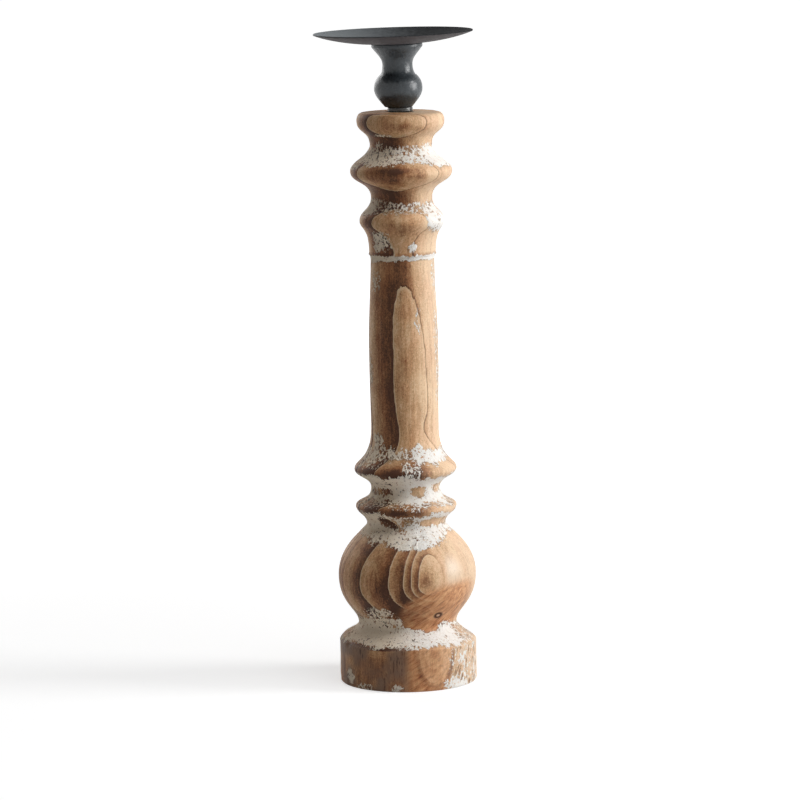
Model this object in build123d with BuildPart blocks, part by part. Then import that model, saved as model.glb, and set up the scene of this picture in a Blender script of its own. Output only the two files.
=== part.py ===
from build123d import *

import math
import os

# A table candle stand: a turned wooden column with a small stack of iron fittings on its top, which carries
# a shallow iron dish. One long wood screw holds the whole stack down. Lengths are in millimetres. The origin
# is at the middle of the foot, where the stand meets the table, with +Z up and the front towards -Y.

# The wooden column, from the foot up. A rise runs from one crest or waist of the turning to the next one, and
# the shaft takes up what the turnings at its two ends leave of the height.
column_height = 378.6
plinth_radius = 45.4
plinth_height = 28.8
plinth_arris = 1.5
stem_radius = 32.3
stem_rise = 10.2
globe_radius = 45.6
globe_rise = 32.7
waist_radius = 25.9
waist_rise = 34.3
lower_ring_radius = 33.5
lower_ring_rise = 11.7
cove_radius = 22.8
cove_rise = 12.2
foot_ring_radius = 33.8
foot_ring_rise = 12.5
shaft_foot_radius = 22.4
belly_radius = 22.9
shaft_head_radius = 21.0
groove_depth = 0.5
groove_rise = 0.4
shoulder_step = 0.9
upper_ring_radius = 28.0
upper_ring_rise = 22.0
upper_cove_radius = 20.2
upper_cove_rise = 15.0
great_ring_radius = 33.6
great_ring_rise = 17.8
throat_radius = 20.6
throat_rise = 17.5
cap_radius = 28.9
cap_rise = 15.5
crown_radius = 24.7
crown_rise = 5.3
crown_dome_rise = 0.4

# Where the shaft's narrow foot and its belly lie between the ring below and its head, as shares of its length.
shaft_foot_share = 0.195
belly_share = 0.547

# How far each turned curve keeps to its two ends before it bends over, as shares of its rise: lower, upper.
globe_shares = (0.28, 0.60)
waist_shares = (0.59, 0.12)
lower_ring_shares = (0.50, 0.36)
cove_shares = (0.35, 0.80)
foot_ring_shares = (0.58, 0.36)
shaft_foot_shares = (0.20, 0.80)
belly_shares = (0.37, 0.38)
shaft_head_shares = (0.41, 0.38)
upper_ring_shares = (0.85, 0.27)
upper_cove_shares = (0.44, 0.52)
great_ring_shares = (0.62, 0.46)
throat_shares = (0.36, 0.50)
cap_shares = (0.57, 0.54)

# How the freer curves leave their lower end and reach their upper one, as shares of their run and rise.
slope_leave_shares = (0.38, 0.30)
slope_reach_shares = (0.06, 0.34)
crown_leave_shares = (0.0, 0.62)
crown_reach_shares = (0.55, 0.0)
dome_leave_shares = (0.35, 0.60)
dome_reach_shares = (0.40, 0.0)

# The underside is turned a little hollow, round the dimple that the lathe's centre left.
foot_land = 8.0
hollow_depth = 1.2
lathe_dimple_radius = 2.5
lathe_dimple_depth = 3.0

# The iron stack was bored a little out of true: it stands left of the middle and leans to the left.
stack_shift = 0.8
stack_lean_degrees = 1.0
seat_depth = 0.5
seat_clearance = 0.4
fitting_clearance = 0.5
cut_overrun = 2.0

# The steel collar between the wood and the iron knob. It has slipped sideways in its clearance.
collar_radius = 8.3
collar_height = 3.7
collar_shift = 0.8
collar_round_share = 0.3

# The iron knob.
knob_foot_radius = 9.1
knob_radius = 15.9
knob_rise = 11.9
knob_head_radius = 12.3
knob_head_rise = 8.8
knob_lower_leave_shares = (0.34, 0.26)
knob_lower_reach_shares = (0.0, 0.42)
knob_upper_leave_shares = (0.0, 0.52)
knob_upper_reach_shares = (0.52, 0.24)

# The iron bell that carries the dish, cored out round the boss that takes the pull of the screw.
bell_foot_radius = 11.9
bell_waist_radius = 9.9
bell_waist_rise = 6.8
bell_lip_radius = 16.8
bell_lip_rise = 11.8
bell_lip_height = 2.3
bell_lip_round_share = 0.35
bell_wall = 2.4
bell_boss_wall = 1.6
bell_core_depth = 5.5
bell_foot_leave_shares = (0.65, 0.24)
bell_foot_reach_shares = (0.0, 0.48)
bell_flare_leave_shares = (0.0, 0.40)
bell_flare_reach_shares = (0.50, 0.42)

# The shallow dish of iron sheet. Its hole was punched off its middle, so it hangs over to the left.
dish_radius = 52.3
dish_floor_radius = 18.0
dish_rise = 6.6
dish_sheet = 1.0
dish_rim_round_share = 0.4
dish_shift = 2.3
dish_leave_shares = (0.20, 0.0)
dish_reach_shares = (0.30, 0.64)

# The long wood screw, whose countersunk head sits in a pressed dimple of the dish.
screw_length = 80.0
screw_radius = 2.5
screw_head_radius = 4.9
screw_head_land = 0.3
screw_point_length = 9.0
screw_tip_radius = 0.4
head_clearance = 0.1
thread_clearance = 0.05
countersink_degrees = 90.0
drill_point_degrees = 118.0
cross_reach = 2.7
cross_width = 1.1
cross_depth = 1.8
cross_taper_degrees = 12.0

os.makedirs("parts", exist_ok=True)

# Heights of the crests and waists above the table.
stem_level = plinth_height + stem_rise
globe_level = stem_level + globe_rise
waist_level = globe_level + waist_rise
lower_ring_level = waist_level + lower_ring_rise
cove_level = lower_ring_level + cove_rise
foot_ring_level = cove_level + foot_ring_rise
crown_level = column_height - crown_dome_rise
cap_level = crown_level - crown_rise
throat_level = cap_level - cap_rise
great_ring_level = throat_level - throat_rise
upper_cove_level = great_ring_level - great_ring_rise
upper_ring_level = upper_cove_level - upper_cove_rise
shoulder_level = upper_ring_level - upper_ring_rise
groove_level = shoulder_level - groove_rise
shaft_head_level = groove_level - groove_rise
shaft_length = shaft_head_level - foot_ring_level
shaft_foot_level = foot_ring_level + shaft_foot_share * shaft_length
belly_level = foot_ring_level + belly_share * shaft_length

# The seat of the stack, sunk a little into the crown, and the seats above it, all on one leaning axis.
lean = math.radians(stack_lean_degrees)
stack_seat = Plane(
    origin=(-stack_shift, 0, column_height - seat_depth),
    x_dir=(math.cos(lean), 0, math.sin(lean)),
    z_dir=(-math.sin(lean), 0, math.cos(lean)),
)
collar_seat = stack_seat.shift_origin(stack_seat.origin + stack_seat.x_dir * collar_shift)
knob_seat = stack_seat.offset(collar_height)
bell_seat = knob_seat.offset(knob_rise + knob_head_rise)
bell_height = bell_waist_rise + bell_lip_rise + bell_lip_height
dish_hole_seat = bell_seat.offset(bell_height)
dish_seat = dish_hole_seat.shift_origin(dish_hole_seat.origin - dish_hole_seat.x_dir * dish_shift)
screw_seat = dish_hole_seat.offset(dish_sheet)
stack_height = collar_height + knob_rise + knob_head_rise + bell_height + dish_sheet

# The holes that the screw passes, and the dimple that its head pulls into.
fitting_bore_radius = screw_radius + fitting_clearance
collar_bore_radius = fitting_bore_radius + collar_shift
pilot_radius = screw_radius + thread_clearance
pilot_depth = screw_length - stack_height + fitting_clearance
drill_point_length = pilot_radius / math.tan(math.radians(drill_point_degrees / 2))
countersink_slope = math.tan(math.radians(countersink_degrees / 2))
dimple_mouth_radius = screw_head_radius + head_clearance + screw_head_land * countersink_slope
dimple_depth = (dimple_mouth_radius - fitting_bore_radius) / countersink_slope
dimple_sheet_run = dish_sheet / math.cos(math.radians(countersink_degrees / 2))
dimple_back_radius = dimple_mouth_radius - dish_sheet * countersink_slope + dimple_sheet_run


def turned(start, end, shares):
    """A turned curve from start up to end, in line with the axis at both of its ends."""
    lower_share, upper_share = shares
    return bend(start, end, (0, lower_share), (0, upper_share))


def bend(start, end, leave_shares, reach_shares):
    """A curve from start to end that leaves and reaches them in the directions that the shares give."""
    run = end[0] - start[0]
    rise = end[1] - start[1]
    return Bezier(
        start,
        (start[0] + leave_shares[0] * run, start[1] + leave_shares[1] * rise),
        (end[0] - reach_shares[0] * run, end[1] - reach_shares[1] * rise),
        end,
    )


def section_through(seat):
    """The upright plane through the axis of a seat, with its second direction up along that axis."""
    return Plane(origin=seat.origin, x_dir=seat.x_dir, z_dir=-seat.y_dir)


def axis_of(seat):
    """The axis on which whatever stands on a seat was turned."""
    return Axis(seat.origin, seat.z_dir)


# The column is turned from one length of timber, so its figure runs through every ring.
with BuildPart() as column:
    with BuildSketch(Plane.XZ):
        with BuildLine():
            dimple_tip = (0, hollow_depth + lathe_dimple_depth)
            dimple_edge = (lathe_dimple_radius, hollow_depth)
            hollow_edge = (plinth_radius - foot_land, 0)
            foot = (plinth_radius, 0)
            plinth_top = (plinth_radius, plinth_height)
            stem = (stem_radius, stem_level)
            globe = (globe_radius, globe_level)
            waist = (waist_radius, waist_level)
            lower_ring = (lower_ring_radius, lower_ring_level)
            cove = (cove_radius, cove_level)
            foot_ring = (foot_ring_radius, foot_ring_level)
            shaft_foot = (shaft_foot_radius, shaft_foot_level)
            belly = (belly_radius, belly_level)
            shaft_head = (shaft_head_radius, shaft_head_level)
            groove = (shaft_head_radius - groove_depth, groove_level)
            shoulder = (shaft_head_radius + shoulder_step, shoulder_level)
            upper_ring = (upper_ring_radius, upper_ring_level)
            upper_cove = (upper_cove_radius, upper_cove_level)
            great_ring = (great_ring_radius, great_ring_level)
            throat = (throat_radius, throat_level)
            cap = (cap_radius, cap_level)
            crown = (crown_radius, crown_level)
            crown_top = (0, column_height)
            Polyline(crown_top, dimple_tip, dimple_edge, hollow_edge, foot, plinth_top)
            bend(plinth_top, stem, slope_leave_shares, slope_reach_shares)
            turned(stem, globe, globe_shares)
            turned(globe, waist, waist_shares)
            turned(waist, lower_ring, lower_ring_shares)
            turned(lower_ring, cove, cove_shares)
            turned(cove, foot_ring, foot_ring_shares)
            turned(foot_ring, shaft_foot, shaft_foot_shares)
            turned(shaft_foot, belly, belly_shares)
            turned(belly, shaft_head, shaft_head_shares)
            Polyline(shaft_head, groove, shoulder)
            turned(shoulder, upper_ring, upper_ring_shares)
            turned(upper_ring, upper_cove, upper_cove_shares)
            turned(upper_cove, great_ring, great_ring_shares)
            turned(great_ring, throat, throat_shares)
            turned(throat, cap, cap_shares)
            bend(cap, crown, crown_leave_shares, crown_reach_shares)
            bend(crown, crown_top, dome_leave_shares, dome_reach_shares)
        make_face()
    revolve(axis=Axis.Z)
    plinth_side = column.faces().filter_by(GeomType.CYLINDER).sort_by(Axis.Z)[0]
    fillet(plinth_side.edges().filter_by(GeomType.CIRCLE), radius=plinth_arris)
    with BuildSketch(collar_seat):
        Circle(collar_radius + seat_clearance)
    extrude(amount=cut_overrun, mode=Mode.SUBTRACT)
    with BuildSketch(section_through(stack_seat)):
        with BuildLine():
            Polyline(
                (0, cut_overrun),
                (pilot_radius, cut_overrun),
                (pilot_radius, -pilot_depth),
                (0, -pilot_depth - drill_point_length),
                close=True,
            )
        make_face()
    revolve(axis=axis_of(stack_seat), mode=Mode.SUBTRACT)
column.part.label = "column"

# The collar, with its two outer edges rounded over.
with BuildPart() as foot_collar:
    with BuildSketch(collar_seat):
        Circle(collar_radius)
    extrude(amount=collar_height)
    rim_edges = foot_collar.edges().filter_by(GeomType.CIRCLE)
    fillet(rim_edges, radius=collar_round_share * collar_height)
    with BuildSketch(collar_seat):
        Circle(collar_bore_radius)
    extrude(amount=collar_height, mode=Mode.SUBTRACT)
foot_collar.part.label = "foot_collar"

# The knob, narrow at its foot and widest at more than half of its height.
with BuildPart() as neck_knob:
    with BuildSketch(section_through(knob_seat)):
        with BuildLine():
            knob_height = knob_rise + knob_head_rise
            knob_foot = (knob_foot_radius, 0)
            knob_crest = (knob_radius, knob_rise)
            knob_head = (knob_head_radius, knob_height)
            Polyline(knob_head, (fitting_bore_radius, knob_height), (fitting_bore_radius, 0), knob_foot)
            bend(knob_foot, knob_crest, knob_lower_leave_shares, knob_lower_reach_shares)
            bend(knob_crest, knob_head, knob_upper_leave_shares, knob_upper_reach_shares)
        make_face()
    revolve(axis=axis_of(knob_seat))
neck_knob.part.label = "neck_knob"

# The bell: a waist below a flared lip, with an even wall round the core and a countersunk boss in its middle.
with BuildPart() as neck_bell:
    bell_section = section_through(bell_seat)
    bell_boss_radius = dimple_back_radius + head_clearance + bell_boss_wall
    with BuildSketch(bell_section):
        with BuildLine():
            bell_foot = (bell_foot_radius, 0)
            bell_waist = (bell_waist_radius, bell_waist_rise)
            bell_lip = (bell_lip_radius, bell_waist_rise + bell_lip_rise)
            bell_rim = (bell_lip_radius, bell_height)
            Polyline(bell_rim, (fitting_bore_radius, bell_height), (fitting_bore_radius, 0), bell_foot)
            bend(bell_foot, bell_waist, bell_foot_leave_shares, bell_foot_reach_shares)
            bend(bell_waist, bell_lip, bell_flare_leave_shares, bell_flare_reach_shares)
            Line(bell_lip, bell_rim)
        make_face()
    revolve(axis=axis_of(bell_seat))
    lip_edges = neck_bell.edges().filter_by(GeomType.CIRCLE).sort_by(SortBy.RADIUS)[-2:]
    fillet(lip_edges, radius=bell_lip_round_share * bell_lip_height)
    with BuildSketch(bell_section):
        with BuildLine():
            core_floor_level = bell_height - bell_core_depth
            core_mouth_radius = bell_lip_radius - bell_wall
            core_floor_share = (core_floor_level - bell_waist_rise) / (bell_lip_rise + bell_lip_height)
            core_floor_radius = bell_boss_radius + (core_mouth_radius - bell_boss_radius) * core_floor_share
            Polyline(
                (bell_boss_radius, bell_height),
                (bell_boss_radius, core_floor_level),
                (core_floor_radius, core_floor_level),
                (core_mouth_radius, bell_height),
                close=True,
            )
        make_face()
    revolve(axis=axis_of(bell_seat), mode=Mode.SUBTRACT)
    with BuildSketch(bell_section):
        with BuildLine():
            seat_mouth_radius = dimple_back_radius + head_clearance
            seat_floor_level = bell_height + dish_sheet - dimple_depth - head_clearance
            seat_floor_radius = seat_mouth_radius - (bell_height - seat_floor_level) * countersink_slope
            Polyline(
                (0, bell_height),
                (0, seat_floor_level),
                (seat_floor_radius, seat_floor_level),
                (seat_mouth_radius, bell_height),
                close=True,
            )
        make_face()
    revolve(axis=axis_of(bell_seat), mode=Mode.SUBTRACT)
neck_bell.part.label = "neck_bell"

# The dish: a flat floor and a wall that sweeps up to a softened rim, with a dimple pressed round its hole.
with BuildPart() as dish:
    with BuildSketch(section_through(dish_seat)):
        with BuildLine():
            floor_edge = (dish_floor_radius, 0)
            rim = (dish_radius, dish_rise)
            floor_edge_above = (dish_floor_radius, dish_sheet)
            rim_above = (dish_radius, dish_rise + dish_sheet)
            Polyline(floor_edge_above, (0, dish_sheet), (0, 0), floor_edge)
            bend(floor_edge, rim, dish_leave_shares, dish_reach_shares)
            Line(rim, rim_above)
            bend(floor_edge_above, rim_above, dish_leave_shares, dish_reach_shares)
        make_face()
    revolve(axis=axis_of(dish_seat))
    dish_rim_edges = dish.edges().filter_by(GeomType.CIRCLE).sort_by(SortBy.RADIUS)[-2:]
    fillet(dish_rim_edges, radius=dish_rim_round_share * dish_sheet)
    with BuildSketch(section_through(dish_hole_seat)):
        with BuildLine():
            dimple_floor_level = dish_sheet - dimple_depth
            dimple_back_slant = -dimple_floor_level * countersink_slope
            Polyline(
                (0, 0),
                (0, dimple_floor_level),
                (dimple_back_radius - dimple_back_slant, dimple_floor_level),
                (dimple_back_radius, 0),
                close=True,
            )
        make_face()
    revolve(axis=axis_of(dish_hole_seat))
    with BuildSketch(section_through(dish_hole_seat)):
        with BuildLine():
            Polyline(
                (0, dish_sheet),
                (0, dimple_floor_level - cut_overrun),
                (fitting_bore_radius, dimple_floor_level - cut_overrun),
                (fitting_bore_radius, dimple_floor_level),
                (dimple_mouth_radius, dish_sheet),
                close=True,
            )
        make_face()
    revolve(axis=axis_of(dish_hole_seat), mode=Mode.SUBTRACT)
dish.part.label = "dish"

# The screw: a countersunk head with a cross recess, a straight shank and a long point.
with BuildPart() as fixing_screw:
    with BuildSketch(section_through(screw_seat)):
        with BuildLine():
            head_cone_height = (screw_head_radius - screw_radius) / countersink_slope
            Polyline(
                (0, 0),
                (screw_head_radius, 0),
                (screw_head_radius, -screw_head_land),
                (screw_radius, -screw_head_land - head_cone_height),
                (screw_radius, screw_point_length - screw_length),
                (screw_tip_radius, -screw_length),
                (0, -screw_length),
                close=True,
            )
        make_face()
    revolve(axis=axis_of(screw_seat))
    with BuildSketch(screw_seat):
        Rectangle(2 * cross_reach, cross_width)
        Rectangle(cross_width, 2 * cross_reach)
    extrude(amount=-cross_depth, taper=cross_taper_degrees, mode=Mode.SUBTRACT)
fixing_screw.part.label = "fixing_screw"

for piece in (column, foot_collar, neck_knob, neck_bell, dish, fixing_screw):
    export_step(piece.part, f"parts/{piece.part.label}.step")

stand_box = Compound(children=[column.part, dish.part]).bounding_box()
print(f"column {column_height:.2f} mm high, whole stand {stand_box.max.Z:.2f} mm high")
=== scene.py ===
import math

import bpy
import numpy as np
from mathutils import Matrix, Vector


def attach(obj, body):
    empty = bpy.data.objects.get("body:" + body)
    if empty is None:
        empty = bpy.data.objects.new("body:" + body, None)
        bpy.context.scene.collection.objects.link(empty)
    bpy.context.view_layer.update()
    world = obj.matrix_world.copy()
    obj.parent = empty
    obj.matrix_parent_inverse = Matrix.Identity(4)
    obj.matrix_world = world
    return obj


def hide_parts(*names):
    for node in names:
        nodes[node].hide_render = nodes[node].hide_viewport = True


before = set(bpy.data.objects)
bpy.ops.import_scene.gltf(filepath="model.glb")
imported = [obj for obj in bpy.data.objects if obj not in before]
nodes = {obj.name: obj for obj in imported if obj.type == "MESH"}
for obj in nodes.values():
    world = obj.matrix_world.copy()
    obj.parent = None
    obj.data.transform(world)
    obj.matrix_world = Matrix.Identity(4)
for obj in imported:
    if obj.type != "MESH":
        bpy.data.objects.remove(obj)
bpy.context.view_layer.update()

MM = 0.001

# The turned profile of the column, in millimetres, the same as in the part's source: (radius, level).
PLINTH_RADIUS = 45.4
PLINTH_HEIGHT = 28.8
PLINTH_ARRIS = 1.5
STEM = (32.3, 39.0)
GLOBE = (45.6, 71.7)
WAIST = (25.9, 106.0)
LOWER_RING = (33.5, 117.7)
COVE = (22.8, 129.9)
FOOT_RING = (33.8, 142.4)
SHAFT_FOOT = (22.4, 170.07)
BELLY = (22.9, 220.02)
SHAFT_HEAD = (21.0, 284.3)
GROOVE = (20.5, 284.7)
SHOULDER = (21.9, 285.1)
UPPER_RING = (28.0, 307.1)
UPPER_COVE = (20.2, 322.1)
GREAT_RING = (33.6, 339.9)
THROAT = (20.6, 357.4)
CAP = (28.9, 372.9)
CROWN = (24.7, 378.2)
CROWN_TOP = (0.0, 378.6)
FOOT_LAND = 8.0
HOLLOW_DEPTH = 1.2
DIMPLE_RADIUS = 2.5
DIMPLE_DEPTH = 3.0

# The bore of the iron stack and the seat of its collar, which lean to the left.
STACK_SHIFT = 0.8
STACK_LEAN = math.radians(1.0)
SEAT_RADIUS = 8.7
SEAT_DEPTH = 0.5
BORE_RADIUS = 2.55
BORE_DEPTH = 35.0
BORE_TIP = 1.5

# How finely the column's mesh is divided: points around it, and millimetres from row to row.
COLUMNS = 256
ROW_SPACING = 1.36
CURVE_STEPS = 200

# The constants of the noise: a prime for each axis and for the seed, and the one that mixes them.
AXIS_PRIMES = (73856093, 19349663, 83492791)
SEED_PRIME = 2654435
MIXING_PRIME = 1274126177
SEED_SHIFT = 17.37


def lattice(points, size, seed):
    """Smooth noise from 0 to 1 at points in millimetres, with lumps of about the given size."""
    p = points / size + seed * SEED_SHIFT
    cell = np.floor(p).astype(np.int64)
    f = p - cell
    f = f * f * (3 - 2 * f)
    total = np.zeros(len(p))
    for corner in range(8):
        step = np.array([corner & 1, corner >> 1 & 1, corner >> 2 & 1])
        mixed = (cell + step) * AXIS_PRIMES
        h = mixed[:, 0] ^ mixed[:, 1] ^ mixed[:, 2] ^ (seed * SEED_PRIME)
        h = (h ^ (h >> 13)) * MIXING_PRIME & 0x7FFFFFFF
        value = ((h ^ (h >> 16)) & 0xFFFF) / 65535
        weight = np.prod(np.where(step, f, 1 - f), axis=1)
        total += value * weight
    return total


def rough(points, size, seed, octaves=3):
    """Noise from about 0 to 1 in several sizes, each half as large and half as strong as the one before."""
    total = np.zeros(len(points))
    weight = 0
    for i in range(octaves):
        total += lattice(points, size / 2**i, seed + i) / 2**i
        weight += 1 / 2**i
    return total / weight


def smooth(low, high, value):
    """A smooth step from 0 at low to 1 at high, which may be the lower of the two."""
    t = np.clip((value - low) / (high - low), 0, 1)
    return t * t * (3 - 2 * t)


def ease(table, value):
    """The amounts of a table of (place, amount), read off at each value."""
    place, amount = np.array(table, float).T
    return np.interp(value, place, amount)


def bend(start, end, leave, reach):
    """Points of a turned curve, from start up to but without end."""
    start, end = np.array(start, float), np.array(end, float)
    run = end - start
    first = start + np.array(leave) * run
    second = end - np.array(reach) * run
    t = np.linspace(0, 1, CURVE_STEPS)[:, None]
    line = (1 - t) ** 3 * start + 3 * t * (1 - t) ** 2 * first + 3 * t * t * (1 - t) * second + t**3 * end
    travel = np.concatenate([[0], np.cumsum(np.hypot(*np.diff(line, axis=0).T))])
    count = max(4, round(travel[-1] / ROW_SPACING))
    even = np.linspace(0, travel[-1], count, endpoint=False)
    return [(np.interp(s, travel, line[:, 0]), np.interp(s, travel, line[:, 1])) for s in even]


def turned(start, end, lower, upper):
    """A turned curve that is upright at both ends."""
    return bend(start, end, (0, lower), (0, upper))


def straight(start, end, count):
    run = (end[0] - start[0], end[1] - start[1])
    return [(start[0] + run[0] * i / count, start[1] + run[1] * i / count) for i in range(count)]


def rounded(centre, radius, first, last, count=4):
    """Points of a rounded edge between two angles, in degrees from the outward direction."""
    angles = np.radians(np.linspace(first, last, count, endpoint=False))
    return [(centre[0] + radius * math.cos(a), centre[1] + radius * math.sin(a)) for a in angles]


def underside_rows():
    """The mark of the lathe's centre, the slightly hollow underside and the land that it stands on."""
    inner_land = PLINTH_RADIUS - FOOT_LAND
    rows = straight((0.6, HOLLOW_DEPTH + DIMPLE_DEPTH * 0.76), (DIMPLE_RADIUS, HOLLOW_DEPTH), 2)
    rows += straight((DIMPLE_RADIUS, HOLLOW_DEPTH), (inner_land, 0), 12)
    return rows + straight((inner_land, 0), (PLINTH_RADIUS - PLINTH_ARRIS, 0), 4)


def outer_rows():
    """Everything that shows, from the foot's edge to the seat of the collar."""
    edge = PLINTH_RADIUS - PLINTH_ARRIS
    rows = rounded((edge, PLINTH_ARRIS), PLINTH_ARRIS, -90, 0)
    rows += straight((PLINTH_RADIUS, PLINTH_ARRIS), (PLINTH_RADIUS, PLINTH_HEIGHT - PLINTH_ARRIS), 20)
    rows += rounded((edge, PLINTH_HEIGHT - PLINTH_ARRIS), PLINTH_ARRIS, 0, 60)
    slope = bend((PLINTH_RADIUS, PLINTH_HEIGHT), STEM, (0.38, 0.30), (0.06, 0.34))
    rows += [p for p in slope if p[0] < edge + 0.2]
    rows += turned(STEM, GLOBE, 0.28, 0.60)
    rows += turned(GLOBE, WAIST, 0.59, 0.12)
    rows += turned(WAIST, LOWER_RING, 0.50, 0.36)
    rows += turned(LOWER_RING, COVE, 0.35, 0.80)
    rows += turned(COVE, FOOT_RING, 0.58, 0.36)
    rows += turned(FOOT_RING, SHAFT_FOOT, 0.20, 0.80)
    rows += turned(SHAFT_FOOT, BELLY, 0.37, 0.38)
    rows += turned(BELLY, SHAFT_HEAD, 0.41, 0.38)
    rows += straight(SHAFT_HEAD, GROOVE, 2) + straight(GROOVE, SHOULDER, 3)
    rows += turned(SHOULDER, UPPER_RING, 0.85, 0.27)
    rows += turned(UPPER_RING, UPPER_COVE, 0.44, 0.52)
    rows += turned(UPPER_COVE, GREAT_RING, 0.62, 0.46)
    rows += turned(GREAT_RING, THROAT, 0.36, 0.50)
    rows += turned(THROAT, CAP, 0.57, 0.54)
    rows += bend(CAP, CROWN, (0, 0.62), (0.55, 0))
    dome = bend(CROWN, CROWN_TOP, (0.35, 0.60), (0.40, 0))
    return rows + [p for p in dome if p[0] > SEAT_RADIUS + 0.6]


def bore_rows():
    """The recess for the collar and the bore for the screw, down to its tip."""
    top = CROWN_TOP[1] - 0.08
    floor = CROWN_TOP[1] - SEAT_DEPTH
    bottom = floor - BORE_DEPTH
    rows = [(SEAT_RADIUS, top), (SEAT_RADIUS, top - 0.2), (SEAT_RADIUS, floor)]
    rows += [(6.0, floor), (BORE_RADIUS, floor)]
    rows += straight((BORE_RADIUS, floor - 1), (BORE_RADIUS, bottom), 4)
    return rows + [(BORE_RADIUS, bottom)]


parts = (underside_rows(), outer_rows(), bore_rows())
rows = np.array(parts[0] + parts[1] + parts[2])
first_outer = len(parts[0])
first_bore = first_outer + len(parts[1])
theta = np.linspace(0, 2 * math.pi, COLUMNS, endpoint=False)


def plain_column():
    """The column's points before any relief: (rows, columns, 3), with the first column at the front."""
    r, z = rows[:, :1], rows[:, 1:]
    levels = np.broadcast_to(z, (len(rows), COLUMNS))
    return np.stack([r * np.sin(theta), -r * np.cos(theta), levels], axis=2)


# The figure of the wood. The growth rings are nearly flat sheets that face the front, turned a little to one
# side as the tree twisted: (level, degrees to the right).
TWIST = (
    (0, 20), (97, 20), (157, 19.8), (190, 12.1), (225, 8.2),
    (250, 4), (265, 2.5), (290, 0), (330, -7), (379, -7),
)
# How far the sheets lean back from the front, level by level, in millimetres.
LEAN = (
    (0, 0), (92, 0), (97, 0.5), (110, 2.5), (135, 4.9), (157, 4.9), (190, 4.8), (225, 4.3),
    (245, 4.2), (255, 4.1), (263, 3.75), (268, 3.3), (273, 2.4), (284, 2.4), (285, 3.8),
    (330, 2.8), (379, 2.8),
)
# Where one year's growth ends and the next begins, as depths towards the bark.
YEARS = (
    -60, -55, -50, -45.5, -41, -36, -31.5, -26, -21.5, -16, -11, -6, 0, 7,
    25, 39, 42.7, 44, 44.9, 46.3, 48.2, 50.5, 53, 58, 66,
)
SHEET_RADIUS = 180.0
# The upper half of the globe's sheets is bowed back from here on, the more the nearer they are to the bark.
BOW_START = 21.0
GLOBE_BOW = 0.0165 / 24
# What shifts the sheets on the front, as (x, level, half width, half height, millimetres towards the heart):
# a swelling low on the globe's left, the pinch of the shaft's tongue, and the knot low on the globe's right.
# The root of that knot shifts them in the plinth.
SHIFTS = ((-25, 54, 9, 8, -3.2), (15, 171, 6, 9, -2.1), (25, 47, 12, 8, 9.0))
ROOT_SHIFT = (17, 27, 9, 16, 5.0)


def mound(x, z, place):
    """A round rise of (x, level, half width, half height, rise)."""
    middle, height, half_width, half_height, rise = place
    return rise * np.exp(-(((x - middle) / half_width) ** 2) - ((z - height) / half_height) ** 2)


def figure(points):
    """Each point's depth in the tree, in millimetres towards the bark, and its place across the figure."""
    x, y, z = points.T
    front = y < 0
    turn = np.radians(ease(TWIST, z))
    ahead = x * np.sin(turn) - y * np.cos(turn)
    across = x * np.cos(turn) + y * np.sin(turn)
    depth = ahead + across**2 / (2 * SHEET_RADIUS) + ease(LEAN, z)
    calm = 0.3 + 0.7 * smooth(88, 110, z) - 0.55 * smooth(165, 175, z) * smooth(300, 280, z)
    broad = (lattice(points * [1, 1, 0.3], 14, 3) - 0.5) * 0.9
    narrow = (lattice(points * [1, 1, 0.2], 5, 4) - 0.5) * 0.35
    depth += (broad + narrow) * calm
    bow = GLOBE_BOW * (np.clip(z - 72, 0, 28) ** 2 * smooth(112, 98, z) * front)
    depth = np.where(depth > BOW_START, (depth - BOW_START * bow) / np.maximum(1 - bow, 0.3), depth)
    for shift in SHIFTS:
        depth += mound(x, z, shift) * front
    depth += mound(x, z, ROOT_SHIFT) * front * smooth(33, 27, z)
    return depth, across


points = plain_column().reshape(-1, 3)
depth, across = figure(points)
ring = np.interp(depth, YEARS, np.arange(len(YEARS)))


def surface_slope(values):
    """How fast values change along the surface, per millimetre."""
    grid = values.reshape(len(rows), COLUMNS)
    spread = points.reshape(len(rows), COLUMNS, 3)
    along = np.gradient(grid, axis=0)
    step = np.linalg.norm(np.gradient(spread, axis=0), axis=2)
    around = (np.roll(grid, -1, 1) - np.roll(grid, 1, 1)) / 2
    turn = np.linalg.norm(np.roll(spread, -1, 1) - np.roll(spread, 1, 1), axis=2) / 2
    return np.hypot(along / np.maximum(step, 1e-3), around / np.maximum(turn, 1e-3)).ravel()


# How wide a year's growth is on the surface, in millimetres.
WIDEST_YEAR = 40
gauge = np.minimum(1 / np.maximum(surface_slope(ring), 1 / WIDEST_YEAR), WIDEST_YEAR)

angle = np.degrees(np.arctan2(points[:, 0], -points[:, 1]))
level = points[:, 2]
reach = np.hypot(points[:, 0], points[:, 1])
on_plinth = smooth(31, 28, level)

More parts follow.
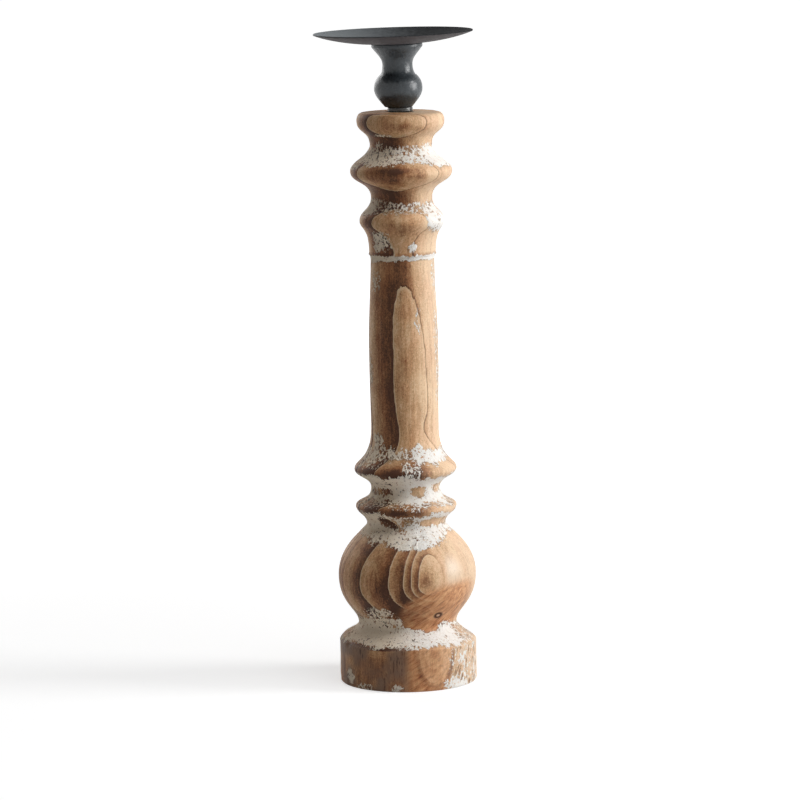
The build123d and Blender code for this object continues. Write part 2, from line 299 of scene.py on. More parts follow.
# The whitewash that is left: (first and last angle to the right, bottom, top, share of the wood it covers).
WASH = (
    (-180, 180, 345.8, 356.2, 0.62), (-180, 180, 313.5, 321.0, 0.36), (-180, 180, 282.7, 285.0, 1.9),
    (-180, 180, 150.5, 158.5, 0.55), (-180, 180, 123.0, 140.5, 0.95), (-180, 180, 96.0, 115.5, 0.84),
    (-180, 180, 29.6, 44.0, 0.92), (-180, 180, 119.5, 123.5, 0.4), (-42, -14, 363.4, 364.8, 0.75),
    (41, 95, 343.5, 357, 1.0), (-66, -34, 346.6, 354.5, 0.85), (-90, -60, 341, 347, 0.6),
    (-92, -45, 312.7, 322.3, 0.95), (39, 80, 302, 321, 0.95), (-60, -22, 288, 300, 0.75),
    (11, 27, 287.5, 293.5, 0.7), (-78, -56, 280.5, 285.3, 0.8), (-69, -45, 263, 275, 0.32),
    (-84, -66, 198, 223, 0.42), (-57, -45, 154, 167, 0.75), (10, 75, 149.5, 158.5, 0.85),
    (-3, 21, 139.5, 149, 0.46), (-26, 30, 94.0, 99.5, 0.9), (-52, -16, 46, 53.5, 0.6),
    (-73, 0, 40, 46.5, 0.85), (40, 54, 33.5, 41, 1.1), (-40, 16, 28.2, 31.5, 0.8),
    (-63, -53, 3.6, 13.5, 0.9), (33, 62, -3, 9.5, 0.78), (-12, -5, -3, 4.5, 0.7),
    (-52, -34, -3, 4, 0.55), (24, 33, 234, 251, 0.22), (-98, -40, 145.5, 156, 0.5),
    (64, 92, 188, 248, 0.28), (62, 90, 258, 281, 0.3), (-95, -50, 44, 50, 0.3),
)
# Where the wood shows through in the middle of it.
BARE = (
    (8, 34, 126.5, 133.5, 1.0), (50, 74, 129, 134.5, 0.9), (-72, -24, 126.5, 131.5, 0.75),
    (-43, -13, 106.5, 112.5, 0.8), (13, 74, 105.8, 111.5, 0.95), (-9, 6, 108.5, 114.5, 0.6),
    (-100, -72, 30, 35, 0.6), (58, 100, 30, 38, 0.6), (12, 38, 38, 46, 1.2), (-6, 18, 39.5, 46, 1.1),
    (52, 110, 40, 46, 1.0), (-105, -46, 92, 99.5, 0.8), (40, 105, 92, 100, 0.9),
)
# How far painted edges wander, as (size of the lumps, swing) in millimetres.
WANDER = ((11, 5), (4, 3), (1.8, 1.6))


def wander(seed):
    """Up to about 3 mm either way at each point."""
    return sum((lattice(points, size, seed + i) - 0.5) * swing for i, (size, swing) in enumerate(WANDER))


wander_up, wander_across = wander(71), wander(81)


def right_of(turn):
    """How far each point lies to the right of an angle, in millimetres along the surface."""
    return np.radians((angle - turn + 180) % 360 - 180) * reach


def spot(left, right, bottom, top, soft=1.5):
    """1 inside a band or a rounded patch of the surface and 0 outside, with edges that wander."""
    height = level + wander_up * min(1, (top - bottom) / 9)
    middle, half = (left + right) / 2, (right - left) / 2
    beyond = smooth(soft, -soft, np.maximum(bottom - height, height - top))
    if half >= 180:
        return beyond
    away = right_of(middle) + wander_across
    wide = np.abs(away) / np.maximum(np.radians(half) * reach, 1)
    tall = np.abs(height - (bottom + top) / 2) / ((top - bottom) / 2)
    return smooth(1.35, 0.65, (wide**3 + tall**3) ** (1 / 3))


wash = np.zeros(len(points))
for left, right, bottom, top, share in WASH:
    wash = np.maximum(wash, share * spot(left, right, bottom, top))
for left, right, bottom, top, share in BARE:
    wash -= share * spot(left, right, bottom, top)
# The plinth's right is brushed with thin streaks of it.
streaky = spot(40, 84, -6, 34) * smooth(30, 27.5, level)
wash = np.maximum(wash, 0.36 * streaky)
wash += (rough(points, 8, 21) - 0.5) * 0.7 * smooth(0, 0.4, wash)
wash -= 0.8 * smooth(0.06, 0, wash)
# The side that has faced the light keeps more of its paint. On the other side the paint is tinted warmer as
# painted shade.
wash += 0.08 * smooth(-5, 22, angle) * smooth(100, 60, angle) * smooth(0.3, 0.6, wash)
warm_shade_side = smooth(22, -30, angle) * smooth(-180, -120, angle)

# Darker wood in the hollows, all the way round, as (bottom, top, strength): partly dirt and partly painted
# shade.
HOLLOW_BANDS = ((316, 330, 0.6), (350, 364, 0.6), (104, 114, 0.8), (122, 136, 0.7), (46, 53, 0.4))
hollow_dirt_and_shade = np.zeros(len(points))
for bottom, top, share in HOLLOW_BANDS:
    hollow_dirt_and_shade = np.maximum(hollow_dirt_and_shade, share * spot(-180, 180, bottom, top, 3))
# Painted shade: the darkening in the hollows is taken off the right, where the key lamp lights them.
hollow_dirt_and_shade *= 1 - 0.8 * smooth(0, 40, angle) * smooth(140, 100, angle)
hollow_dirt_and_shade = np.maximum(hollow_dirt_and_shade, 0.65 * smooth(0.1, 0.45, wash) * smooth(28, 31, level))

# The reddish heart of the knot's branch lies on the globe's right, below a slanting edge of (degrees to the
# right, level), and under it in the plinth, round the pale end of its root.
BRANCH_EDGE = ((-12, 50), (0, 58), (12.5, 65.3), (20, 67.7), (32, 69.2), (45, 69.9), (60, 70.2), (90, 68))
below_edge = smooth(4, -3, level - ease(BRANCH_EDGE, angle))
amber = below_edge * smooth(-15, 1, angle) * smooth(86, 52, angle) * smooth(34, 40, level)
from_root = np.hypot((angle - 23) / 16.5, (level - 30) / 27)
root = smooth(1.15, 0.85, from_root)
red = smooth(-14, 3, angle) * smooth(40, 30, angle) * smooth(30, 26, level) * (1 - root)
amber = np.maximum(amber, np.maximum(0.9 * red, 0.6 * root * on_plinth))

# Darker patches on the front, as (angle, level, half width and half height in millimetres, strength). Those
# under the globe, on the rings' undersides and left, in the coves and down the globe's right edge are
# painted shade; the rest are dark patches in the wood.
SMUDGES_AND_SHADE = (
    (-6, 60, 5, 8, 0.6), (-4, 50, 10, 7, 0.8), (5, 370.5, 7, 3.0, 0.45), (22, 369, 6, 2.2, 0.3),
    (-30, 366, 10, 4, 0.25), (-8, 341.8, 13, 2.4, 0.7), (14, 338.5, 12, 1.8, 0.35), (-16, 336, 12, 5, 0.25),
    (2, 303, 9, 5, 0.35), (-9, 52.5, 8, 9, 0.75), (2, 45.5, 9, 3.5, 0.8), (38, 43, 9, 2.6, 0.7),
    (-26, 12, 26, 16, 0.45), (-48, 18, 7, 9, 0.4), (-70, 10, 14, 14, 0.3), (-22, 60, 8, 12, 0.2),
    (-38, 52, 7, 5, 0.55), (-44, 93, 8, 4, 0.4), (-40, 142, 24, 5, 0.75), (-40, 117, 24, 4.5, 0.7),
    (14, 74.5, 3.5, 4.5, 0.35), (-24, 355, 14, 8, 0.3), (-22, 325, 14, 8, 0.25), (66, 55, 4, 9, 0.7),
    (58, 45, 6, 4, 0.6), (-74, 70, 12, 16, 0.25), (-7, 205, 6, 60, 0.22), (4, 58, 6, 6, 0.55),
    (-16, 142, 11, 4.2, 0.75), (-14, 117, 12, 3.2, 0.7),
)
smudge_and_shade = np.zeros(len(points))
for turn, height, half_width, half_height, strength in SMUDGES_AND_SHADE:
    sideways = right_of(turn) / half_width
    smudge_and_shade = np.maximum(smudge_and_shade, strength * np.exp(-(sideways**2) - ((level - height) / half_height) ** 2))
smudge_and_shade = np.maximum(smudge_and_shade, 0.6 * np.exp(-(((from_root - 1.08) / 0.12) ** 2)) * smooth(29, 26, level))
# Painted shade: the left, away from the key lamp, is darker as a whole, and so are the scribed groove and
# the plinth's rim on the left.
groove = smooth(285.0, 285.4, level) * smooth(286.9, 285.8, level)
rim = smooth(27.4, 28.3, level) * smooth(30.0, 29.3, level) * smooth(20, -20, angle)
rim *= smooth(-180, -110, angle)
smudge_and_shade = smudge_and_shade + 0.13 * smooth(45, 5, angle) * smooth(-180, -80, angle)
smudge_and_shade = np.maximum(smudge_and_shade, 1.3 * np.maximum(groove, rim))

# The cracked grey-brown dirt on the plinth's left and, thinner, behind.
dirt = 0.95 * on_plinth * smooth(4, -6, angle) * smooth(-170, -95, angle)
dirt *= smooth(0.3, 0.75, rough(points, 12, 91))
dirt = np.maximum(dirt, 0.35 * on_plinth * (np.abs(angle) > 92))

# Where hands have rubbed the globe smooth, which also sets a painted highlight on the paler wood there.
polish_and_highlight = np.exp(-(((angle - 43) / 15) ** 2) - ((level - 79) / 12) ** 2)

# The dark late wood is broad on the left of the front, and hardly shows on its right.
patchy = rough(points * [1, 1, 0.25], 30, 41, 2)
facing = smooth(115, 65, np.abs(angle))
late = facing * (1 - 0.88 * smooth(-6, 12, across)) + (1 - facing) * (0.25 + 0.6 * smooth(0.3, 0.7, patchy))
lines = 0.4 + 0.5 * late
# On the globe the lines end at the left with the fourteenth year, and hardly show to the right of the heart.
globe = smooth(110, 100, level) * facing
outside = smooth(13.5, 13.2, ring) * globe
late *= 1 - 0.6 * outside
lines *= 1 - 0.85 * np.maximum(outside, smooth(2, 7, across) * globe)
lines *= (0.6 + 0.4 * facing) * (1 - 0.9 * amber) * (1 - 0.6 * np.clip(smudge_and_shade, 0, 1))
# On the plinth's front they are faint.
low = smooth(34, 28, level) * facing
late = late * (1 - low) + low * np.where(across < -4, 0.3, 0.3 - 0.25 * smooth(2, 16, across))
lines = lines * (1 - 0.75 * low)

# Painted light: the right, where the key lamp falls, is made paler, and palest as a painted highlight on the
# right of the rubbed spot. The end of the root is paler wood of its own.
uneven = 0.75 + 0.5 * (rough(points * [1, 1, 0.4], 25, 95, 2) - 0.5)
pale = smooth(0, 75, angle) * smooth(135, 90, angle) * uneven
pale = np.maximum(0.15 * root * smooth(30, 27, level), pale)
pale = np.maximum(pale, 1.5 * polish_and_highlight * smooth(8, 14, across))

# Depths of the relief, in millimetres.
UNEVENNESS = 0.7
RING_WEAR = 0.06
FRONT_WEAR = 0.1
BEAD = 0.45
PAINT_THICKNESS = 0.22
DENT = 1.1
DENT_BAND = 3.5
# The plinth's top edge runs up and down, as (height, waves round the column, phase).
EDGE_WAVES = ((0.9, 1, -2.4), (0.5, 2, 0.6), (0.3, 5, 1))


def relief():
    """The column's points with the unevenness, worn rings, thick paint and wobbly edges of the real one."""
    grid = points.reshape(len(rows), COLUMNS, 3)
    along = np.gradient(rows, axis=0)
    along /= np.maximum(np.hypot(*along.T), 1e-9)[:, None]
    out, up = along[:, 1:], np.repeat(-along[:, :1], COLUMNS, 1)
    normal = np.stack([out * np.sin(theta), -out * np.cos(theta), up], axis=2)
    share = ring - np.floor(ring)
    worn = smooth(0.0, 0.9, share) * smooth(0, 1.2, (1 - share) * gauge)
    proud = (rough(points, 34, 31, 2) - 0.5) * UNEVENNESS
    bare = smooth(0.7, 0.3, wash)
    proud += (worn - 0.6) * (RING_WEAR + FRONT_WEAR * facing) * np.clip(lines, 0, 1) * bare
    proud += BEAD * smooth(283.3, 284.1, level) * smooth(286, 285.2, level)
    proud += PAINT_THICKNESS * smooth(0.2, 0.9, wash) * (0.4 + rough(points, 3.2, 51, 2))
    dents = smooth(0.76, 0.9, lattice(points, 6, 61))
    from_rim = np.abs(level - PLINTH_HEIGHT)
    edges = np.maximum(smooth(DENT_BAND, 0.5, level), smooth(DENT_BAND, 0.5, from_rim) * (reach > 40))
    proud -= DENT * dents * np.maximum(edges, 0.25)
    proud = proud.reshape(len(rows), COLUMNS)
    proud[:first_outer + 2] = 0
    proud[first_bore - 3:] = 0
    moved = grid + normal * proud[:, :, None]
    wave = sum(height * np.sin(count * theta + phase) for height, count, phase in EDGE_WAVES)
    moved[:, :, 2] += (smooth(16, 28, rows[:, 1]) * smooth(38, 30, rows[:, 1]))[:, None] * wave
    # The bore and the seat of the collar stand on the leaning axis of the iron stack.
    for i in range(first_bore, len(rows)):
        seat = rows[i, 0] > BORE_RADIUS + 0.1
        drop = rows[i, 1] - (CROWN_TOP[1] - SEAT_DEPTH)
        moved[i, :, 0] += 0 if seat else -STACK_SHIFT - math.tan(STACK_LEAN) * drop
        moved[i, :, 2] += moved[i, :, 0] * math.tan(STACK_LEAN) if seat and drop < 0.1 else 0
    moved[:, :, 2] = np.maximum(moved[:, :, 2], 0)
    return moved.reshape(-1, 3)


# What the material reads at each point of the column.
FIELDS = {
    "ring": ring, "gauge": gauge, "wash": wash, "hollow_dirt_and_shade": hollow_dirt_and_shade, "amber": amber, "late": late, "lines": lines,
    "smudge_and_shade": smudge_and_shade, "dirt": dirt, "pale": pale, "streaky": streaky, "polish_and_highlight": polish_and_highlight, "warm_shade_side": warm_shade_side,
}


def make_column():
    mesh = bpy.data.meshes.new("turned_column")
    count = len(rows)
    index = np.arange(count * COLUMNS).reshape(count, COLUMNS)
    after = np.roll(index, -1, axis=1)
    quads = np.stack([index[:-1], after[:-1], after[1:], index[1:]], axis=2).reshape(-1, 4)
    # One point closes the mark in the underside, and one the tip of the bore.
    low, high = count * COLUMNS, count * COLUMNS + 1
    tip = CROWN_TOP[1] - SEAT_DEPTH - BORE_DEPTH - BORE_TIP
    poles = [(0, 0, HOLLOW_DEPTH + DIMPLE_DEPTH), (-STACK_SHIFT + math.tan(STACK_LEAN) * BORE_DEPTH, 0, tip)]
    fans = np.concatenate([
        np.stack([np.full(COLUMNS, low), after[0], index[0]], axis=1),
        np.stack([np.full(COLUMNS, high), index[-1], after[-1]], axis=1),
    ])
    co = np.concatenate([relief(), poles]) * MM
    corners = np.concatenate([quads.ravel(), fans.ravel()]).astype(np.int32)
    starts = np.concatenate([np.arange(len(quads)) * 4, len(quads) * 4 + np.arange(len(fans)) * 3])
    mesh.vertices.add(len(co))
    mesh.vertices.foreach_set("co", co.astype(np.float32).ravel())
    mesh.loops.add(len(corners))
    mesh.loops.foreach_set("vertex_index", corners)
    mesh.polygons.add(len(starts))
    mesh.polygons.foreach_set("loop_start", starts.astype(np.int32))
    mesh.polygons.foreach_set("use_smooth", np.ones(len(starts), bool))
    mesh.update(calc_edges=True)
    mesh.validate()
    for name, values in FIELDS.items():
        both = np.concatenate([values, [0, 0]]).astype(np.float32)
        mesh.attributes.new(name, "FLOAT", "POINT").data.foreach_set("value", both)
    piece = bpy.data.objects.new("turned_column", mesh)
    bpy.context.scene.collection.objects.link(piece)
    return piece


column = make_column()
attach(column, "root")
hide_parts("column")


def linear(red, green, blue):
    """A colour as seen on a screen, 0 to 255, as the linear colour that nodes use."""
    out = []
    for value in (red, green, blue):
        value /= 255
        out.append(value / 12.92 if value <= 0.04045 else ((value + 0.055) / 1.055) ** 2.4)
    return (*out, 1)


class Graph:
    """The nodes of a material or of the world."""

    def __init__(self, owner):
        self.owner = owner
        owner.use_nodes = True
        self.tree = owner.node_tree
        self.tree.nodes.clear()

    def add(self, kind, values=None, **settings):
        made = self.tree.nodes.new("ShaderNode" + kind)
        for name, value in settings.items():
            setattr(made, name, value)
        for name, value in (values or {}).items():
            if isinstance(value, bpy.types.NodeSocket):
                self.tree.links.new(value, made.inputs[name])
            else:
                made.inputs[name].default_value = value
        return made

    def math(self, kind, *values, clamp=False):
        return self.add("Math", dict(enumerate(values)), operation=kind, use_clamp=clamp).outputs[0]

    def sway(self, noise, swing, onto):
        """The value onto, moved up and down by noise about its middle."""
        return self.math("MULTIPLY_ADD", self.math("SUBTRACT", noise, 0.5), swing, onto)

    def step(self, value, low, high):
        """A smooth step from 0 at low to 1 at high, which may be the lower of the two."""
        values = {"Value": value, "From Min": low, "From Max": high}
        return self.add("MapRange", values, interpolation_type="SMOOTHSTEP").outputs["Result"]

    def attribute(self, name):
        return self.add("Attribute", attribute_name=name).outputs["Fac"]

    def scaled(self, x, y, z):
        """Object coordinates in millimetres, multiplied."""
        values = {0: self.add("TexCoord").outputs["Object"], 1: (x / MM, y / MM, z / MM)}
        return self.add("VectorMath", values, operation="MULTIPLY").outputs[0]

    def leaning(self, degrees, x, y, z):
        """Object coordinates in millimetres, turned within the front view and multiplied."""
        values = {"Vector": self.scaled(1, 1, 1), "Axis": (0, 1, 0), "Angle": math.radians(degrees)}
        turned_round = self.add("VectorRotate", values).outputs[0]
        return self.add("VectorMath", {0: turned_round, 1: (x, y, z)}, operation="MULTIPLY").outputs[0]

    def upward(self):
        """How far the surface faces up: 1 on flat tops, -1 below."""
        normal = self.add("TexCoord").outputs["Normal"]
        return self.add("SeparateXYZ", {"Vector": normal}).outputs["Z"]

    def noise(self, vector, scale, detail=2.0, roughness=0.5):
        values = {"Vector": vector, "Scale": scale, "Detail": detail, "Roughness": roughness}
        return self.add("TexNoise", values).outputs["Fac"]

    def mix(self, factor, first, second, blend="MIX"):
        """Two colours mixed. The node's inputs 6 and 7 and its output 2 are the ones for colours."""
        values = {0: factor, 6: first, 7: second}
        return self.add("Mix", values, data_type="RGBA", blend_type=blend).outputs[2]

    def ramp(self, value, stops):
        """Colours of 0 to 255 by value, as (place, colour)."""
        made = self.add("ValToRGB", {"Fac": value})
        elements = made.color_ramp.elements
        while len(elements) < len(stops):
            elements.new(0.5)
        for element, (place, colour) in zip(elements, stops):
            element.position = place
            element.color = linear(*colour)
        return made.outputs["Color"]

    def bump(self, strength, distance, height):
        values = {"Strength": strength, "Distance": distance, "Height": height}
        return self.add("Bump", values).outputs["Normal"]

    def seen(self):
        """1 for the camera's rays and for those of reflections and refractions, else 0."""
        path = self.add("LightPath")
        either = self.math("MAXIMUM", path.outputs["Is Camera Ray"], path.outputs["Is Glossy Ray"])
        return self.math("MAXIMUM", either, path.outputs["Is Transmission Ray"])

    def output(self, kind, shader):
        self.tree.links.new(shader.outputs[0], self.add(kind).inputs["Surface"])
        return self.owner

    def finish(self, sockets):
        """The finished material, with these inputs to its shader."""
        return self.output("OutputMaterial", self.add("BsdfPrincipled", sockets))


# Colours of 0 to 255, as (place on the ramp, colour): wood from early to late, the branch, and the paint.
WOOD_TONES = ((0.0, (240, 206, 166)), (0.28, (212, 168, 124)), (0.6, (158, 109, 73)), (1.0, (78, 48, 31)))
BRANCH_TONES = ((0.3, (124, 68, 42)), (0.47, (206, 138, 92)), (0.66, (240, 190, 140)))
PAINT_TONES = ((0.29, (202, 188, 170)), (0.41, (249, 245, 238)), (0.52, (255, 254, 251)))
ROSY = linear(250, 224, 214)
# LIT_PALE_WOOD and LIT_PAINT are painted light: paler wood and whiter paint for the lit right.
LIT_PALE_WOOD = linear(243, 224, 202)
KNOT_RING = linear(66, 38, 24)
KNOT_HEART = linear(226, 214, 198)
# EARLY_WOOD_HIGHLIGHT: pale early wood, also used as a painted highlight on each year's worn step.
EARLY_WOOD_HIGHLIGHT = linear(228, 200, 164)
# HOLLOW_DARK_TONE: darker wood in the hollows, partly dirt and partly painted shade.
HOLLOW_DARK_TONE = linear(66, 44, 32)
DRY_DIRT, DIRT_CRACK = linear(138, 110, 91), linear(64, 45, 35)
PORE = linear(84, 56, 38)
BRUSHED = linear(112, 78, 56)
LIT_PAINT = linear(255, 253, 250)
# WARM_PAINT_TINT: a warm tint of the paint, stronger on the shaded left as painted shade.
WARM_PAINT_TINT = linear(255, 238, 215)

# The small knot on the globe, in millimetres, and how much flatter than round it is.
KNOT = (20.0, -30.8, 48.5)
KNOT_SQUASH = 1.3
FINE_LINES_PER_YEAR = 7


def timber():
    g = Graph(bpy.data.materials.new("whitewashed_timber"))
    # Each year's growth darkens slowly to its late wood and ends in a line. t is its share that lies behind.
    ring_in = g.attribute("ring")
    width = g.attribute("gauge")
    rings = g.sway(g.noise(g.scaled(1, 1, 0.25), 0.35, 2), 0.06, ring_in)
    t = g.math("FRACT", rings)
    since = g.math("MULTIPLY", t, width)
    until = g.math("MULTIPLY", g.math("SUBTRACT", 1, t), width)
    late_share = g.attribute("late")
    wide = g.math("MULTIPLY", g.math("POWER", t, 1.6), late_share)
    # Painted light from the pale attribute: paler on the lit right, with a painted highlight on the rubbed
    # spot.
    lit_pale = g.attribute("pale")
    line_width = g.math("MULTIPLY_ADD", lit_pale, 1.3, 1.2)
    line = g.math("MULTIPLY", g.step(until, line_width, 0.1), g.attribute("lines"))
    dark = g.math("MAXIMUM", g.math("MULTIPLY", wide, 0.8), line)
    grain = g.noise(g.scaled(1, 1, 0.05), 1.6, 4, 0.65)
    streak = g.noise(g.scaled(1, 1, 0.03), 0.45, 3, 0.6)
    pores = g.noise(g.scaled(1, 1, 0.09), 4.5, 2, 0.5)
    blotch = g.noise(g.scaled(1, 1, 0.5), 0.09, 4, 0.6)
    mottle = g.noise(g.scaled(1, 1, 0.8), 0.9, 4, 0.75)
    sand = g.noise(g.scaled(1, 1, 0.85), 1.8, 2, 0.6)
    tone = dark
    for noise, swing in ((grain, 0.5), (mottle, 0.9), (sand, 0.6), (streak, 0.55)):
        tone = g.sway(noise, swing, tone)
    fine = g.math("SUBTRACT", g.math("FRACT", g.math("MULTIPLY", rings, FINE_LINES_PER_YEAR)), 0.4)
    tone = g.math("MULTIPLY_ADD", fine, g.math("MULTIPLY", lit_pale, 0.24), tone)
    tone = g.sway(blotch, 0.7, tone)
    # Darker patches, partly painted shade on the left, under the globe and under the rings.
    tone = g.math("MULTIPLY_ADD", g.attribute("smudge_and_shade"), g.math("MULTIPLY_ADD", blotch, 1.2, 0.4), tone)
    tone = g.math("ADD", tone, 0.04, clamp=True)
    wood = g.ramp(tone, WOOD_TONES)
    rosy = g.step(g.noise(g.scaled(1, 1, 0.35), 0.11, 4, 0.6), 0.4, 0.62)
    wood = g.mix(g.math("MULTIPLY", rosy, 0.35), wood, ROSY, "MULTIPLY")
    wood = g.mix(g.math("MULTIPLY", lit_pale, 0.45), wood, LIT_PALE_WOOD)
    # The streaks of the branch rise to the right.
    branch = g.ramp(g.noise(g.leaning(32, 0.12, 1, 1), 0.55, 5, 0.7), BRANCH_TONES)
    wood = g.mix(g.math("MULTIPLY", g.attribute("amber"), 0.8), wood, branch)
    # The knot is a dark ring round a light heart.
    middle = (KNOT[0], KNOT[1], KNOT[2] * KNOT_SQUASH)
    from_knot = g.add("VectorMath", {0: g.scaled(1, 1, KNOT_SQUASH), 1: middle}, operation="DISTANCE")
    from_knot = from_knot.outputs["Value"]
    knot_ring = g.math("MULTIPLY", g.step(from_knot, 1.0, 1.8), g.step(from_knot, 4.2, 2.4))
    wood = g.mix(knot_ring, wood, KNOT_RING)
    wood = g.mix(g.step(from_knot, 0.9, 0.5), wood, KNOT_HEART)
    # A thin light line of early wood at each year's start, strengthened as a painted highlight where light
    # would catch the worn step.
    lightness = g.math("MULTIPLY", g.attribute("lines"), g.math("MULTIPLY", late_share, 1.05))
    early_line_and_highlight = g.math("MULTIPLY", g.step(since, 0.85, 0.35), lightness, clamp=True)
    wood = g.mix(early_line_and_highlight, wood, EARLY_WOOD_HIGHLIGHT)
    # Darker in the hollows: partly dirt and partly painted shade.
    hollow_dark = g.step(g.noise(g.scaled(1, 1, 0.6), 0.16, 5, 0.65), 0.38, 0.62)
    hollow_dark = g.math("MULTIPLY", g.attribute("hollow_dirt_and_shade"), hollow_dark)
    wood = g.mix(g.math("MULTIPLY", hollow_dark, 0.85), wood, HOLLOW_DARK_TONE)
    cracks = g.step(g.noise(g.scaled(1, 1, 0.12), 1.0, 4, 0.7), 0.5, 0.66)
    wood = g.mix(g.attribute("dirt"), wood, g.mix(cracks, DRY_DIRT, DIRT_CRACK))
    wood = g.mix(g.math("MULTIPLY", g.step(pores, 0.58, 0.75), 0.5), wood, PORE)
    # The whitewash covers what its share allows of a ragged noise.
    ragged = g.noise(g.scaled(1, 1, 0.5), 0.26, 10, 0.76)
    specks = g.noise(g.scaled(1, 1, 0.75), 0.62, 3, 0.72)
    limit = g.sway(specks, 4.2, g.sway(ragged, 1.9, 0.46))
    # On the plinth's right it lies in slanting strokes, with darker wood between them.
    brushed = g.noise(g.leaning(-22, 1, 1, 0.08), 0.5, 5, 0.7)
    streaky_in = g.attribute("streaky")
    strokes = g.math("MULTIPLY_ADD", brushed, 4.0, -2.15)
    wash_in = g.math("MULTIPLY_ADD", streaky_in, strokes, g.attribute("wash"))
    cover = g.step(g.math("SUBTRACT", wash_in, limit), -0.03, 0.08)
    between = g.math("MULTIPLY", streaky_in, g.math("MULTIPLY", g.step(brushed, 0.47, 0.38), 0.8))
    wood = g.mix(between, wood, BRUSHED)
    paint = g.ramp(g.noise(g.scaled(1, 1, 1), 0.8, 5, 0.75), PAINT_TONES)
    # Painted light: the paint is whiter on the lit right.
    paint = g.mix(lit_pale, paint, LIT_PAINT)
    # Painted shade: the paint is warmer on the shaded left, over a slight warm tint everywhere.
    paint_warmth_and_shade = g.math("MULTIPLY_ADD", g.attribute("warm_shade_side"), 0.8, 0.12)
    paint = g.mix(paint_warmth_and_shade, paint, WARM_PAINT_TINT, "MULTIPLY")
    colour = g.mix(cover, wood, paint)
    worn = g.math("MULTIPLY", g.step(t, 0.0, 0.9), g.step(until, 0.0, 0.5))
    height = g.math("MULTIPLY", worn, g.math("MULTIPLY", g.attribute("lines"), 0.4))
    height = g.math("MULTIPLY_ADD", grain, 0.12, height)
    flakes = g.math("MULTIPLY_ADD", specks, 0.8, g.math("MULTIPLY", ragged, 0.6))
    normal = g.bump(0.9, MM, g.math("MULTIPLY_ADD", cover, flakes, height))
    # Rubbed smooth on the round, dull on the flat tops and the paint.
    dull = g.math("MULTIPLY_ADD", mottle, 0.12, 0.46)
    dull = g.math("MULTIPLY_ADD", g.step(g.upward(), 0.5, 0.9), 0.15, dull)
    dull = g.math("MULTIPLY_ADD", g.attribute("polish_and_highlight"), -0.3, dull)
    dull = g.math("MULTIPLY_ADD", cover, 0.25, dull)
    return g.finish({"Base Color": colour, "Roughness": dull, "Specular IOR Level": 0.2, "Normal": normal})


# The darker right of the dish's inside is painted shade.
DISH_SHADE_TONE = linear(30, 31, 33)


def iron(name, colour, roughness, gloss=0.25, metallic=0.0, underside_tone=None):
    """Cloudy iron or steel; colours are of 0 to 255, and underside_tone is the colour of the dish's
    underside; giving it also paints shade on the right of the dish's inside.
    """
    g = Graph(bpy.data.materials.new(name))
    cloud = g.noise(g.scaled(1, 1, 1), 0.35, 4, 0.6)
    fine = g.noise(g.scaled(1, 1, 1), 2.5, 3, 0.6)
    darker = linear(*[c * 0.82 for c in colour])
    lighter = linear(*[min(255, c * 1.18) for c in colour])
    shade = g.mix(cloud, darker, lighter)
    if underside_tone:
        # Warm and dull below; above, darker towards the right as painted shade, where the dish's inside
        # turns away from the key lamp.
        place = g.add("SeparateXYZ", {"Vector": g.scaled(1, 1, 1)})
        below = g.step(g.upward(), 0.1, -0.1)
        drift = g.sway(cloud, 30, place.outputs["X"])
        dark = g.math("MULTIPLY", g.step(drift, -46, 22), g.math("SUBTRACT", 1, below))
        shade = g.mix(below, shade, linear(*underside_tone))
        shade = g.mix(dark, shade, DISH_SHADE_TONE)
        roughness = g.math("MULTIPLY_ADD", dark, 0.32, roughness)
    dull = g.sway(cloud, 0.3, roughness)
    normal = g.bump(0.7, 0.5 * MM, g.math("MULTIPLY_ADD", fine, 0.12, cloud))
    return g.finish({
        "Base Color": shade, "Roughness": dull, "Specular IOR Level": gloss, "Metallic": metallic,
        "Normal": normal,
    })


def dress(node, material):
    mesh = nodes[node].data
    mesh.materials.clear()
    mesh.materials.append(material)


column.data.materials.append(timber())
satin = iron("satin_iron", (60, 66, 70), 0.3, 0.5)
dress("neck_knob", satin)
dress("neck_bell", satin)
dress("dish", iron("dish_iron", (104, 109, 112), 0.62, 0.12, underside_tone=(88, 83, 84)))
dress("foot_collar", iron("collar_steel", (72, 72, 71), 0.25, 0.5, 0.5))
dress("fixing_screw", iron("screw_steel", (90, 88, 86), 0.35))

# The ground reaches this far from the middle, in metres. Far from the object the lamps light it less, and it
# glows more in turn, so that it looks white everywhere but in the object's shadow.
FLOOR_REACH = 40.0
FLOOR_TONE = (0.65, 0.65, 0.65, 1)
NEAR_GLOW = 0.59
ADDED_FAR_GLOW = 0.41
GLOW_FROM, GLOW_TO = 0.2, 2.0


def white_floor():
    """A white ground that catches the object's shadow and looks white to the camera and in reflections."""
    mesh = bpy.data.meshes.new("floor")
    far = FLOOR_REACH
    mesh.from_pydata([(-far, -far, 0), (far, -far, 0), (far, far, 0), (-far, far, 0)], [], [(0, 1, 2, 3)])
    floor = bpy.data.objects.new("floor", mesh)
    bpy.context.scene.collection.objects.link(floor)
    g = Graph(bpy.data.materials.new("floor_white"))
    seen = g.seen()
    diffuse = g.add("BsdfDiffuse", {"Color": FLOOR_TONE})
    away = g.add("VectorMath", {0: g.add("TexCoord").outputs["Object"]}, operation="LENGTH").outputs["Value"]
    white = g.math("MULTIPLY_ADD", g.step(away, GLOW_FROM, GLOW_TO), ADDED_FAR_GLOW, NEAR_GLOW)
    glow = g.add("Emission", {"Color": (1, 1, 1, 1), "Strength": g.math("MULTIPLY", seen, white)})
    both = g.add("AddShader", {0: diffuse.outputs[0], 1: glow.outputs[0]})
    mesh.materials.append(g.output("OutputMaterial", both))


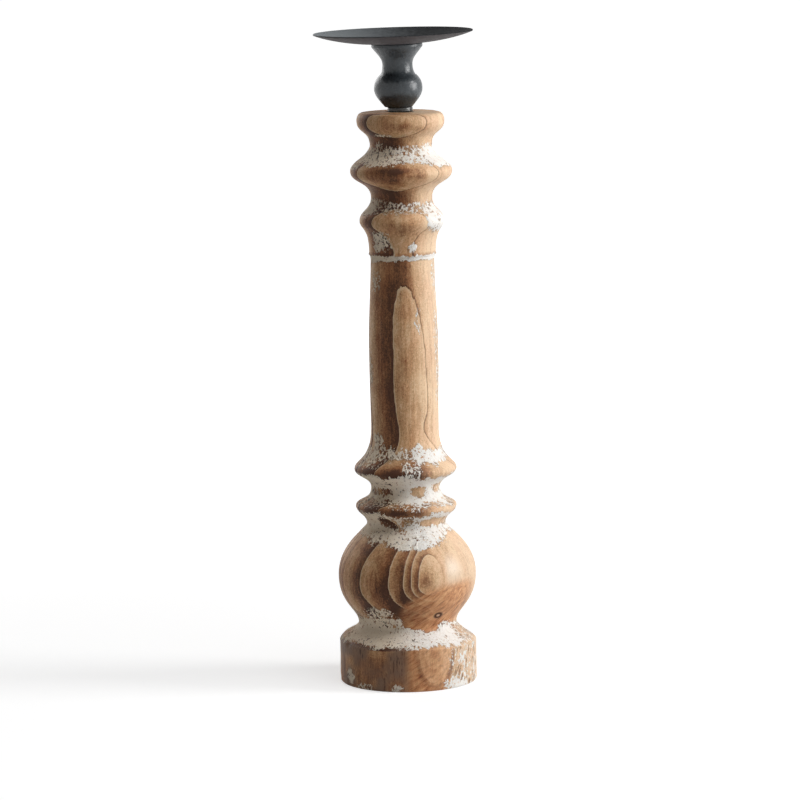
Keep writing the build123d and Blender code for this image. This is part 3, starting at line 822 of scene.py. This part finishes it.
# The studio's soft lamps, as (name, degrees to the right of the front, degrees up, distance, width, height,
# watts), the point they face, and the even light of the room.
LAMPS = (
    ("key", 84, 17, 2.2, 0.9, 1.5, 38.5),
    ("above", 43, 61, 2.0, 1.6, 1.6, 16.5),
    ("behind", -150, 24, 2.4, 2.0, 2.0, 18),
)
LAMPS_FACE = Vector((0, 0, 0.2))
ROOM_LIGHT = 0.052


def light_scene():
    world = bpy.data.worlds.new("plain_world")
    bpy.context.scene.world = world
    g = Graph(world)
    strength = g.add("MapRange", {"To Min": ROOM_LIGHT, "To Max": 1.0, "Value": g.seen()}).outputs["Result"]
    g.output("OutputWorld", g.add("Background", {"Color": (1, 1, 1, 1), "Strength": strength}))
    for name, azimuth, elevation, distance, wide, tall, watts in LAMPS:
        lamp = bpy.data.lights.new(name, "AREA")
        lamp.shape = "ELLIPSE"
        lamp.size = wide
        lamp.size_y = tall
        lamp.energy = watts
        a, e = math.radians(azimuth), math.radians(elevation)
        away = Vector((math.sin(a) * math.cos(e), -math.cos(a) * math.cos(e), math.sin(e)))
        made = bpy.data.objects.new(name, lamp)
        made.location = LAMPS_FACE + away * distance
        made.rotation_mode = "QUATERNION"
        made.rotation_quaternion = away.to_track_quat("Z", "Y")
        bpy.context.scene.collection.objects.link(made)


# The camera, fitted to the photograph, in metres.
SENSOR_WIDTH = 36
LENS = 188.8
EYE = Vector((0, -2.744, 0.588))
EYE_ACROSS, EYE_ABOVE = -0.00303, 0.00046
TIPPED_DOWN = math.radians(8.31)
ROLLED = math.atan(0.01537)


def place_camera():
    """A long lens a little above the dish, tipped down, and rolled as the photograph is."""
    data = bpy.data.cameras.new("camera")
    data.sensor_width = SENSOR_WIDTH
    data.lens = LENS
    data.clip_start = 0.1
    data.clip_end = 200
    right = Vector((1, 0, 0))
    up = Vector((0, math.sin(TIPPED_DOWN), math.cos(TIPPED_DOWN)))
    back = right.cross(up)
    across = right * math.cos(ROLLED) - up * math.sin(ROLLED)
    above = right * math.sin(ROLLED) + up * math.cos(ROLLED)
    place = EYE + across * EYE_ACROSS + above * EYE_ABOVE
    turn = Matrix((across, above, back)).transposed().to_4x4()
    camera = bpy.data.objects.new("camera", data)
    camera.matrix_world = Matrix.Translation(place) @ turn
    bpy.context.scene.collection.objects.link(camera)
    bpy.context.scene.camera = camera


white_floor()
light_scene()
place_camera()
bpy.context.scene.view_settings.view_transform = "Standard"
